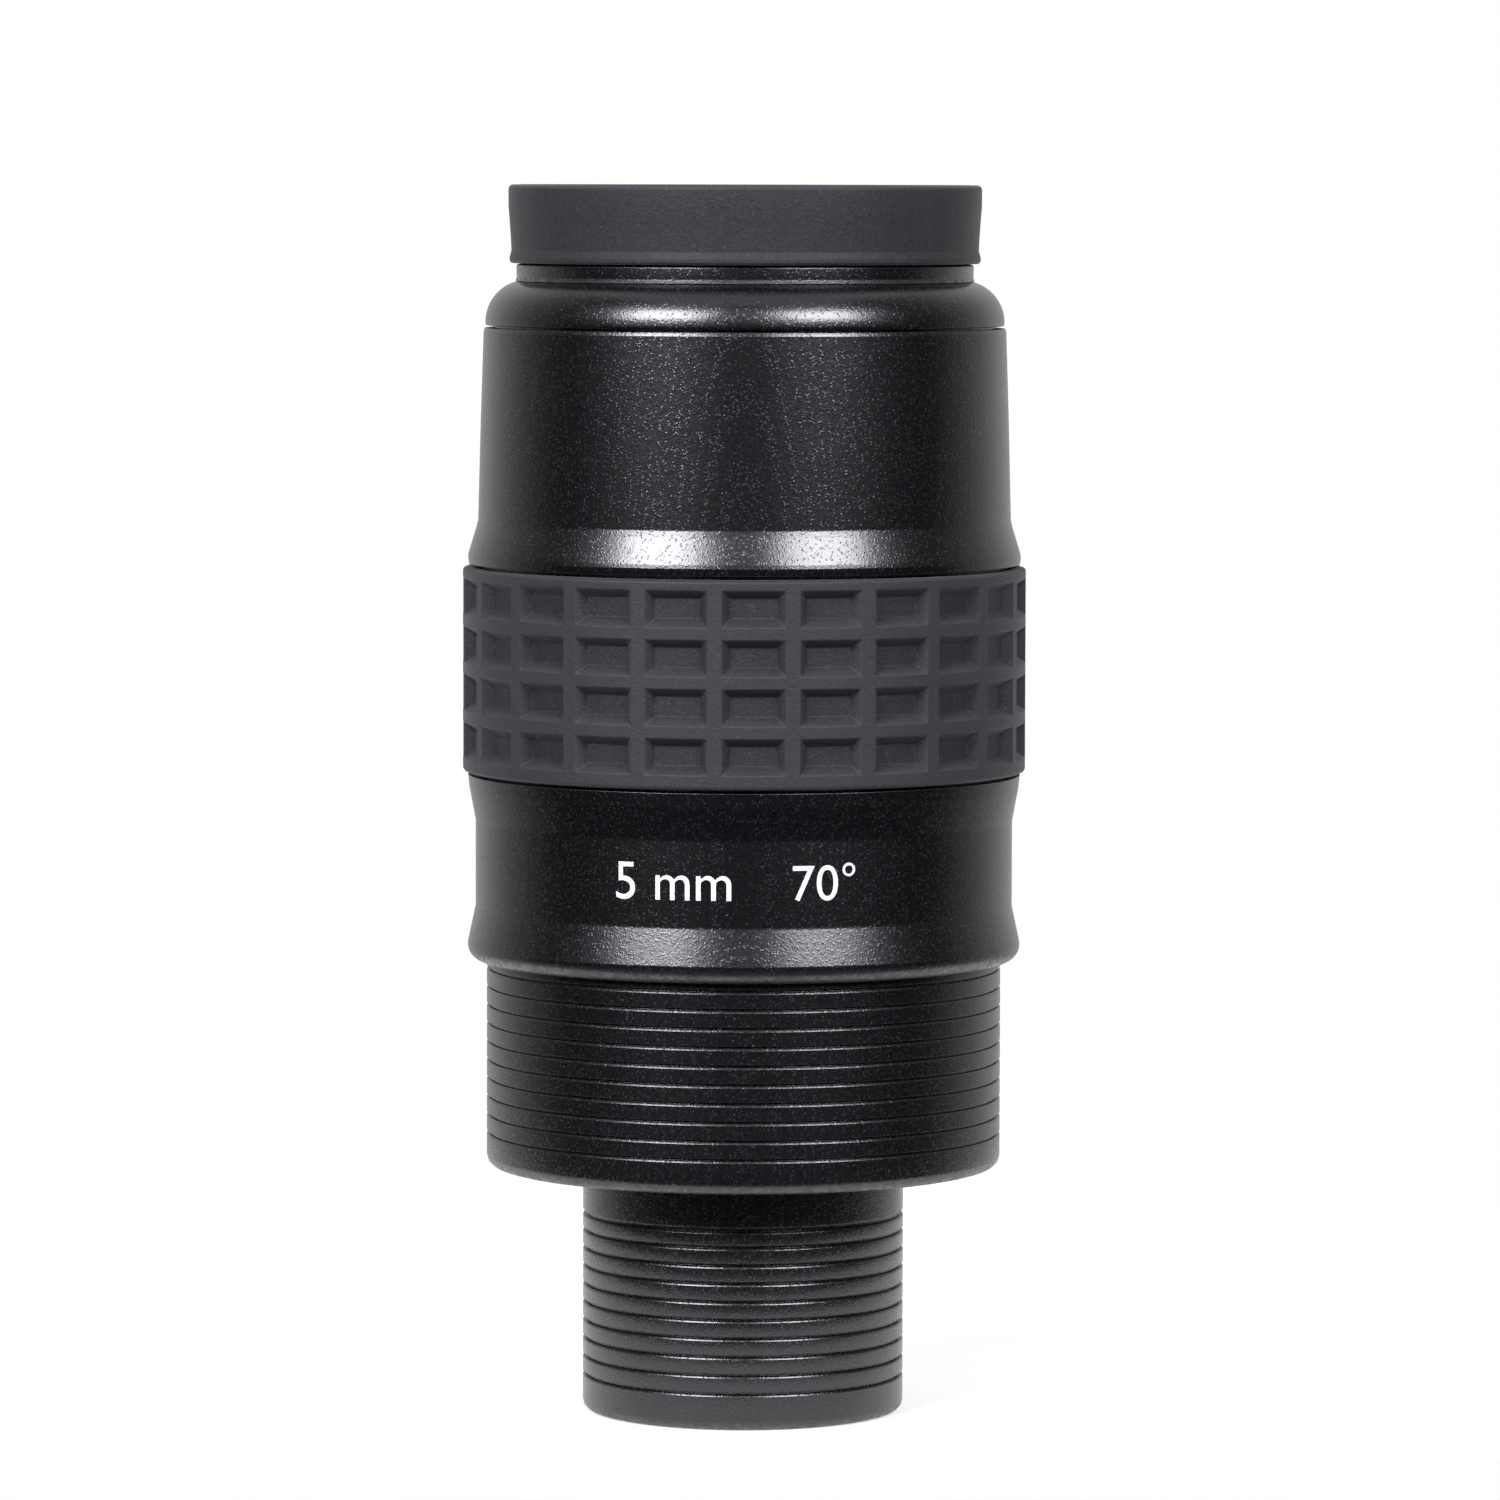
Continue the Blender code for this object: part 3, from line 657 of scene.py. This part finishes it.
def retainer(node, inner, outer, low, high, notch_up, material, slot):
    """Threaded retaining ring with two spanner notches cut across one face."""
    section = round_section([(inner, low, 0.1), (outer, low, 0.1), (outer, high, 0.1), (inner, high, 0.1)])
    ring = turn(node + "_skin", section, MEDIUM, material)
    ring.modifiers.clear()
    bm = bmesh.new()
    bm.from_mesh(ring.data)
    notch_half = 0.7 * MM
    depth = 0.8 * MM
    face_z = (high if notch_up else low) * MM
    for side in (1.0, -1.0):
        bmesh.ops.bisect_plane(
            bm,
            geom=bm.verts[:] + bm.edges[:] + bm.faces[:],
            dist=1e-7,
            plane_co=(0.0, side * notch_half, 0.0),
            plane_no=(0.0, side, 0.0),
        )
    doomed = [
        face
        for face in bm.faces
        if abs(face.calc_center_median().y) < notch_half
        and abs(face.calc_center_median().z - face_z) < 0.12 * MM
    ]
    step = -depth if notch_up else depth
    walls = bmesh.ops.extrude_face_region(bm, geom=doomed)
    lifted = [item for item in walls["geom"] if isinstance(item, bmesh.types.BMVert)]
    bmesh.ops.translate(bm, verts=lifted, vec=(0.0, 0.0, step))
    bmesh.ops.delete(bm, geom=doomed, context="FACES")
    bmesh.ops.recalc_face_normals(bm, faces=bm.faces[:])
    bm.to_mesh(ring.data)
    bm.free()
    ring.data.set_sharp_from_angle(angle=SHARP_ANGLE)
    return fit(ring, HOUSING, slot, node)


retainer("eye_lens_retainer", 16.0, 17.6, 115.15, 116.9, True, housing_metal, "anodised_aluminium")
retainer("lens_group_retainer", 18.4, 20.3, 70.7, 72.2, False, inner_metal, "matt_black_aluminium")
retainer("smyth_retainer", 9.6, 11.3, 9.2, 10.7, False, inner_metal, "matt_black_aluminium")

# ---------------------------------------------------------------------------------------------
# Lenses
# ---------------------------------------------------------------------------------------------


def sag(curve, height):
    """Depth of a round face at a height from the axis."""
    return curve - math.sqrt(curve ** 2 - height ** 2)


def lens(node, radius, top_edge, top_curve, bottom_edge, bottom_curve, material):
    """A lens with both faces finely curved, small edge bevels, and a blackened rim."""
    steps = 18
    bevel = 0.15
    face_radius = radius - bevel
    bottom = []
    top = []
    for step in range(steps + 1):
        height = face_radius * step / steps
        fall = math.copysign(sag(abs(bottom_curve), radius) - sag(abs(bottom_curve), height), bottom_curve)
        rise = math.copysign(sag(abs(top_curve), radius) - sag(abs(top_curve), height), top_curve)
        bottom.append((height, bottom_edge - fall, 0.0))
        top.append((height, top_edge + rise, 0.0))
    rim_low = (radius, bottom[-1][1] + bevel, 0.0)
    rim_high = (radius, top[-1][1] - bevel, 0.0)
    piece = turn(node + "_glass", bottom + [rim_low, rim_high] + top[::-1], MEDIUM, material)
    piece.data.materials.append(ground_edge(node + "_rim_black"))
    for polygon in piece.data.polygons:
        centre = polygon.center
        if math.hypot(centre.x, centre.y) > (face_radius - 0.01) * MM:
            polygon.material_index = 1
    return fit(piece, HOUSING, "coated_glass", node)


LENSES = (
    ("eye_lens", 17.6, 114.6, 120.0, 112.6, 45.0, eye_glass),
    ("upper_doublet_crown", 20.3, 101.2, 60.0, 98.6, 45.0, inner_glass),
    ("upper_doublet_flint", 20.3, 98.45, -45.0, 90.4, -200.0, inner_glass),
    ("lower_doublet_crown", 20.3, 86.6, 50.0, 84.6, 50.0, inner_glass),
    ("lower_doublet_flint", 20.3, 84.45, -50.0, 76.6, -150.0, inner_glass),
    ("field_lens", 20.3, 74.5, 70.0, 72.5, -400.0, inner_glass),
    ("smyth_lens_upper", 11.3, 20.2, -30.0, 14.4, -40.0, inner_glass),
    ("smyth_lens_lower", 11.3, 14.25, 40.0, 11.0, -64.0, eye_glass),
)
for entry in LENSES:
    lens(*entry)

for index in range(3):
    node = "grub_screw_%d" % (index + 1)
    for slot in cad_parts[node].material_slots:
        slot.material = steel

# ---------------------------------------------------------------------------------------------
# Grip sleeve: four rows of sloped pockets between level and upright bars
# ---------------------------------------------------------------------------------------------
GRIP_RADIUS = 27.75
GRIP_FLOOR = 26.7
GRIP_INNER = 26.3
GRIP_LOW = 63.45
GRIP_HIGH = 83.57
GRIP_COLUMNS = 23
GRIP_BAR = math.radians(-95.9)
GRIP_HALF_BAR = 0.725
GRIP_ROWS = ((64.9, 68.42), (69.6, 73.17), (74.32, 77.86), (79.02, 82.57))
GRIP_SIDE_RUN = 0.72
GRIP_LOW_RUN = 0.85
GRIP_HIGH_RUN = 0.75
GRIP_FLOOR_STEPS = 6
GRIP_LOW_ROUND = 0.42
GRIP_HIGH_ROUND = 0.36
GRIP_ROUND_PARTS = (1.0, 0.72, 0.42, 0.16)
GRIP_RIM_BEVEL = 0.09


def rounded_level(edge_z, fillet, part):
    """A level on the rounded end of the sleeve. part is 1 at the end face and 0 at the bars."""
    drop = abs(fillet) * (1 - math.sqrt(1 - part ** 2))
    return edge_z + fillet * (1 - part), GRIP_RADIUS - drop, False


def build_grip():
    """One skin of crossing bars and pocket floors, with its sharp rims bevelled."""
    pitch = math.tau / GRIP_COLUMNS
    half_bar = GRIP_HALF_BAR / GRIP_RADIUS
    run_angle = GRIP_SIDE_RUN / GRIP_RADIUS
    lines = []
    for column in range(GRIP_COLUMNS):
        start = GRIP_BAR + column * pitch
        left = start + half_bar
        right = start + pitch - half_bar
        lines += [(start - half_bar, False), (left, False)]
        for step in range(GRIP_FLOOR_STEPS + 1):
            part = step / GRIP_FLOOR_STEPS
            lines.append((left + run_angle + (right - left - 2 * run_angle) * part, True))
    levels = []
    for part in GRIP_ROUND_PARTS:
        levels.append(rounded_level(GRIP_LOW, GRIP_LOW_ROUND, part))
    levels.append((GRIP_LOW + GRIP_LOW_ROUND, GRIP_RADIUS, False))
    for low, high in GRIP_ROWS:
        levels += [
            (low, GRIP_RADIUS, False),
            (low + GRIP_LOW_RUN, GRIP_RADIUS, True),
            (high - GRIP_HIGH_RUN, GRIP_RADIUS, True),
            (high, GRIP_RADIUS, False),
        ]
    levels.append((GRIP_HIGH - GRIP_HIGH_ROUND, GRIP_RADIUS, False))
    for part in reversed(GRIP_ROUND_PARTS):
        levels.append(rounded_level(GRIP_HIGH, -GRIP_HIGH_ROUND, part))
    levels = [(GRIP_LOW, GRIP_INNER, False)] + levels + [(GRIP_HIGH, GRIP_INNER, False)]

    bm = bmesh.new()
    grid = []
    for height, radius, deep_level in levels:
        row = []
        for azimuth, deep_line in lines:
            here = GRIP_FLOOR if deep_level and deep_line else radius
            spot = Vector((here * math.cos(azimuth), here * math.sin(azimuth), height))
            row.append(bm.verts.new(spot * MM))
        grid.append(row)
    count = len(lines)
    for index in range(len(grid)):
        low = grid[index]
        high = grid[(index + 1) % len(grid)]
        low_deep = levels[index][2]
        high_deep = levels[(index + 1) % len(grid)][2]
        for column in range(count):
            following = (column + 1) % count
            quad = [low[column], low[following], high[following], high[column]]
            sunk = [
                low_deep and lines[column][1],
                low_deep and lines[following][1],
                high_deep and lines[following][1],
                high_deep and lines[column][1],
            ]
            if sum(sunk) == 1:
                corner = sunk.index(True)
                opposite = (corner + 2) % 4
                for other in ((corner + 1) % 4, (corner + 3) % 4):
                    order = sorted((corner, opposite, other))
                    bm.faces.new([quad[item] for item in order])
            else:
                bm.faces.new(quad)
    bmesh.ops.recalc_face_normals(bm, faces=bm.faces[:])
    flat = math.radians(12)
    corner_edges = [e for e in bm.edges if len(e.link_faces) == 2 and e.calc_face_angle() > flat]
    rims = [
        e
        for e in corner_edges
        if all(v.co.xy.length > (GRIP_FLOOR - 0.15) * MM and 64.5 * MM < v.co.z < 83.0 * MM for v in e.verts)
    ]
    bmesh.ops.bevel(
        bm,
        geom=rims,
        offset=GRIP_RIM_BEVEL * MM,
        offset_type="OFFSET",
        segments=3,
        profile=0.5,
        affect="EDGES",
        clamp_overlap=True,
    )
    bmesh.ops.recalc_face_normals(bm, faces=bm.faces[:])
    mesh = bpy.data.meshes.new("grip_sleeve_skin")
    bm.to_mesh(mesh)
    bm.free()
    # Proud bevel rims get edge weight 0.7, which the rubber paints lighter as a highlight.
    weights = [0.0] * len(mesh.vertices)
    for edge in mesh.edges:
        first = mesh.vertices[edge.vertices[0]]
        second = mesh.vertices[edge.vertices[1]]
        short = (first.co - second.co).length < 0.12 * MM
        proud = min(first.co.xy.length, second.co.xy.length) > (GRIP_RADIUS - 0.12) * MM
        if short and proud:
            weights[edge.vertices[0]] = 0.7
            weights[edge.vertices[1]] = 0.7
    mesh.attributes.new("edge", "FLOAT", "POINT").data.foreach_set("value", weights)
    mesh.materials.append(grip_rubber)
    mesh.shade_smooth()
    mesh.set_sharp_from_angle(angle=math.radians(60))
    grip = bpy.data.objects.new("grip_sleeve_skin", mesh)
    bpy.context.scene.collection.objects.link(grip)
    weighted = grip.modifiers.new("weighted", "WEIGHTED_NORMAL")
    weighted.keep_sharp = True
    weighted.weight = 90
    return grip


fit(build_grip(), HOUSING, "grip_rubber", "grip_sleeve")

# ---------------------------------------------------------------------------------------------
# Printed numerals on the lower housing: plain, solid and generic
# ---------------------------------------------------------------------------------------------
PRINT_RADIUS = 26.5
PRINT_RELIEF = 0.015
PRINT_STRIP = 0.4
PRINT_HEIGHT = 3.6
PRINT_BASE = 52.8


def wrapped_numerals(name, text, height, centre_deg, base_z, material):
    """Plain filled numerals as thin mesh, laid round the cylinder.

    Upright cuts let the flat numerals follow the curve.
    """
    curve = bpy.data.curves.new(name + "_letters", "FONT")
    curve.body = text
    curve.resolution_u = 8
    letters = bpy.data.objects.new(name + "_letters", curve)
    bpy.context.scene.collection.objects.link(letters)
    depsgraph = bpy.context.evaluated_depsgraph_get()
    mesh = bpy.data.meshes.new_from_object(letters.evaluated_get(depsgraph))
    bpy.data.objects.remove(letters, do_unlink=True)
    xs = [vert.co.x for vert in mesh.vertices]
    ys = [vert.co.y for vert in mesh.vertices]
    scale = height / (max(ys) - min(ys))
    middle = (max(xs) + min(xs)) / 2
    bm = bmesh.new()
    bm.from_mesh(mesh)
    for vert in bm.verts:
        vert.co = Vector(((vert.co.x - middle) * scale, (vert.co.y - min(ys)) * scale, 0.0))
    reach = (max(xs) - min(xs)) * scale / 2
    for index in range(int(2 * reach / PRINT_STRIP) + 1):
        bmesh.ops.bisect_plane(
            bm,
            geom=bm.verts[:] + bm.edges[:] + bm.faces[:],
            dist=1e-5,
            plane_co=(-reach + PRINT_STRIP * index, 0.0, 0.0),
            plane_no=(1.0, 0.0, 0.0),
        )
    bmesh.ops.dissolve_degenerate(bm, dist=1e-4, edges=bm.edges[:])
    radius = PRINT_RADIUS + PRINT_RELIEF
    for vert in bm.verts:
        azimuth = math.radians(centre_deg - 90.0) + vert.co.x / PRINT_RADIUS
        vert.co = Vector((radius * math.cos(azimuth), radius * math.sin(azimuth), base_z + vert.co.y)) * MM
    bm.to_mesh(mesh)
    bm.free()
    mesh.materials.clear()
    mesh.materials.append(material)
    for polygon in mesh.polygons:
        polygon.material_index = 0
    mesh.attributes.new("edge", "FLOAT", "POINT")
    mesh.shade_smooth()
    obj = bpy.data.objects.new(name, mesh)
    bpy.context.scene.collection.objects.link(obj)
    return fit(obj, HOUSING, "anodised_aluminium")


wrapped_numerals("print_focal_length", "5 mm", PRINT_HEIGHT, -15.0, PRINT_BASE, grey_ink)
wrapped_numerals("print_field_angle", "70\u00b0", PRINT_HEIGHT, 17.0, PRINT_BASE, grey_ink)

# ---------------------------------------------------------------------------------------------
# Floor, light, camera, all in metres
# ---------------------------------------------------------------------------------------------
FLOOR_RADIUS = 0.125
FLOOR_BACK = 0.07
FLOOR_Z = -0.00002
FLOOR_GLOW = 0.5
TARGET = Vector((0.0, 0.0, 0.065))
LIGHT_COLOUR = (0.955, 0.925, 1.0)
KEY_DISTANCE = 0.8
KEY_WIDTH = 0.42
KEY_HEIGHT = 0.3
KEY_ELEVATION = 30
OVERHEAD_DISTANCE = 1.5
OVERHEAD_WIDTH = 1.8
WORLD_DARK = 0.01
WORLD_LIGHT = 0.72
WORLD_REACH = 0.8
CAMERA_PLACE = (0.00046, -0.781, 0.1216)
CAMERA_DOWN = math.radians(90.0 - 4.114)
CAMERA_ROLL = math.radians(-0.13)
CAMERA_LENS = 190.2
SENSOR_WIDTH = 36.0


def build_floor():
    """Pale disc under the object, most of it behind, lit a little from within."""
    bm = bmesh.new()
    bmesh.ops.create_circle(bm, cap_ends=True, segments=128, radius=FLOOR_RADIUS)
    bmesh.ops.translate(bm, verts=bm.verts[:], vec=(0.0, FLOOR_BACK, FLOOR_Z))
    mesh = bpy.data.meshes.new("floor")
    bm.to_mesh(mesh)
    bm.free()
    n = Nodes("pale_floor")
    cloud = n.noise(3.0, 2.0, 0.5)
    n.feed("Base Color", n.mix(cloud, (0.49, 0.49, 0.49), (0.52, 0.52, 0.52)))
    n.fix("Roughness", 0.8)
    n.fix("Specular IOR Level", 0.1)
    n.fix("Emission Color", (1.0, 1.0, 1.0, 1.0))
    n.fix("Emission Strength", FLOOR_GLOW)
    mesh.materials.append(n.material)
    obj = bpy.data.objects.new("floor", mesh)
    bpy.context.scene.collection.objects.link(obj)


build_floor()


def soft_light(name, azimuth, elevation, distance, width, height, watts):
    """Area light aimed at the object. Azimuth 0 is on the camera's side."""
    a = math.radians(azimuth)
    e = math.radians(elevation)
    back = Vector((math.sin(a) * math.cos(e), -math.cos(a) * math.cos(e), math.sin(e)))
    lamp = bpy.data.lights.new(name, "AREA")
    lamp.shape = "RECTANGLE"
    lamp.size = width
    lamp.size_y = height
    lamp.energy = watts
    lamp.color = LIGHT_COLOUR
    obj = bpy.data.objects.new(name, lamp)
    obj.location = TARGET + back * distance
    obj.rotation_mode = "QUATERNION"
    obj.rotation_quaternion = back.to_track_quat("Z", "Y")
    bpy.context.scene.collection.objects.link(obj)


soft_light("key_left", -38, KEY_ELEVATION, KEY_DISTANCE, KEY_WIDTH, KEY_HEIGHT, 11.0)
soft_light("key_right", 35, KEY_ELEVATION, KEY_DISTANCE, KEY_WIDTH, KEY_HEIGHT, 9.0)
soft_light("overhead", 0, 89, OVERHEAD_DISTANCE, OVERHEAD_WIDTH, OVERHEAD_WIDTH, 8.0)

# The world is white to the camera. For every other ray it goes from dark to light towards +Y.
world = bpy.data.worlds.new("studio")
bpy.context.scene.world = world
world.use_nodes = True
world_nodes = world.node_tree.nodes
background = world_nodes["Background"]
background.inputs["Color"].default_value = (1.0, 1.0, 1.0, 1.0)
coords = world_nodes.new("ShaderNodeTexCoord")
split = world_nodes.new("ShaderNodeSeparateXYZ")
ramp = world_nodes.new("ShaderNodeMapRange")
rays = world_nodes.new("ShaderNodeLightPath")
choose = world_nodes.new("ShaderNodeMix")
world.node_tree.links.new(coords.outputs["Generated"], split.inputs["Vector"])
world.node_tree.links.new(split.outputs["Y"], ramp.inputs["Value"])
ramp.inputs["From Min"].default_value = 0.0
ramp.inputs["From Max"].default_value = WORLD_REACH
ramp.inputs["To Min"].default_value = WORLD_DARK
ramp.inputs["To Max"].default_value = WORLD_LIGHT
world.node_tree.links.new(rays.outputs["Is Camera Ray"], choose.inputs["Factor"])
world.node_tree.links.new(ramp.outputs["Result"], choose.inputs["A"])
choose.inputs["B"].default_value = 1.0
world.node_tree.links.new(choose.outputs["Result"], background.inputs["Strength"])

camera_data = bpy.data.cameras.new("camera")
camera_data.sensor_width = SENSOR_WIDTH
camera_data.lens = CAMERA_LENS
camera_data.clip_start = 0.01
camera_data.clip_end = 50.0
camera = bpy.data.objects.new("camera", camera_data)
camera.location = CAMERA_PLACE
camera.rotation_euler = (CAMERA_DOWN, CAMERA_ROLL, 0.0)
bpy.context.scene.collection.objects.link(camera)
bpy.context.scene.camera = camera
bpy.context.scene.view_settings.view_transform = "Standard"
